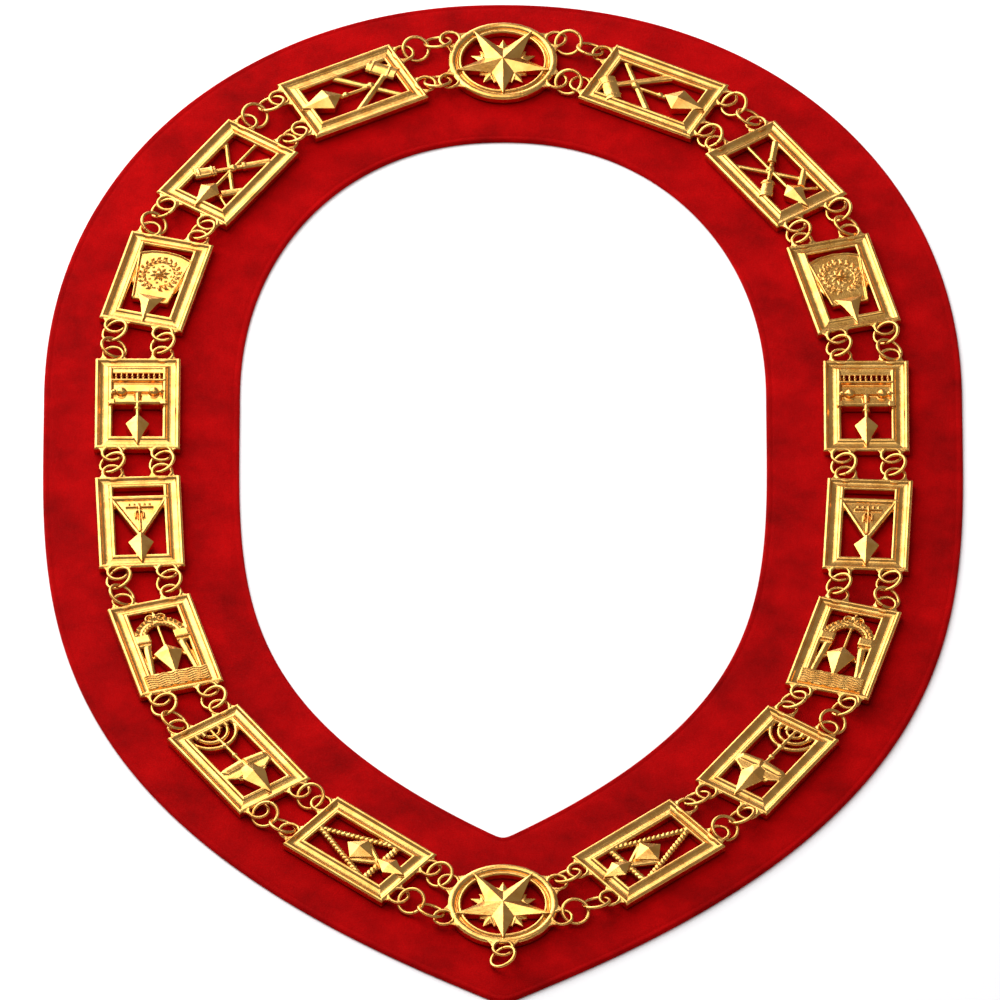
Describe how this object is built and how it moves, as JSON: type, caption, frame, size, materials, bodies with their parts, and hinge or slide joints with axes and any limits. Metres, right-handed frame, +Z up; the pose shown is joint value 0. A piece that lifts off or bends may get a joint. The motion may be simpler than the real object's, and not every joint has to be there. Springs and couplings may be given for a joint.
{
  "type": "chain of office",
  "caption": "Ceremonial chain of office: pierced rectangular gilt plaques and round star medallions joined by double jump-ring chains, laid on a flat red velvet collar with a V-shaped point.",
  "frame": {"origin": "middle of the collar's outline, on its underside", "axes": "+Z up out of the velvet, +Y from the V-shaped point towards the nape, +X to the right as it is seen from above with the nape away from the viewer"},
  "size_m": [0.3794, 0.5802, 0.0086],
  "materials": {
    "velvet": "cotton velvet pile",
    "gilt": "polished gilt"
  },
  "bodies": {
    "root": {"velvet_collar": "velvet", "medallion_top": "gilt", "plaque_gavel_left": "gilt", "plaque_rods_left": "gilt", "plaque_shield_left": "gilt", "plaque_rails_left": "gilt", "plaque_triangle_left": "gilt", "plaque_scroll_left": "gilt", "plaque_branches_left": "gilt", "plaque_rope_left": "gilt", "plaque_gavel_right": "gilt", "plaque_rods_right": "gilt", "plaque_shield_right": "gilt", "plaque_rails_right": "gilt", "plaque_triangle_right": "gilt", "plaque_scroll_right": "gilt", "plaque_branches_right": "gilt", "plaque_rope_right": "gilt", "medallion_bottom": "gilt", "pendant_ring": "gilt", "links_left_1_outer": "gilt", "links_left_1_inner": "gilt", "links_left_2_outer": "gilt", "links_left_2_inner": "gilt", "links_left_3_outer": "gilt", "links_left_3_inner": "gilt", "links_left_4_outer": "gilt", "links_left_4_inner": "gilt", "links_left_5_outer": "gilt", "links_left_5_inner": "gilt", "links_left_6_outer": "gilt", "links_left_6_inner": "gilt", "links_left_7_outer": "gilt", "links_left_7_inner": "gilt", "links_left_8_outer": "gilt", "links_left_8_inner": "gilt", "links_left_9_outer": "gilt", "links_left_9_inner": "gilt", "links_right_1_outer": "gilt", "links_right_1_inner": "gilt", "links_right_2_outer": "gilt", "links_right_2_inner": "gilt", "links_right_3_outer": "gilt", "links_right_3_inner": "gilt", "links_right_4_outer": "gilt", "links_right_4_inner": "gilt", "links_right_5_outer": "gilt", "links_right_5_inner": "gilt", "links_right_6_outer": "gilt", "links_right_6_inner": "gilt", "links_right_7_outer": "gilt", "links_right_7_inner": "gilt", "links_right_8_outer": "gilt", "links_right_8_inner": "gilt", "links_right_9_outer": "gilt", "links_right_9_inner": "gilt"}
  },
  "joints": []
}
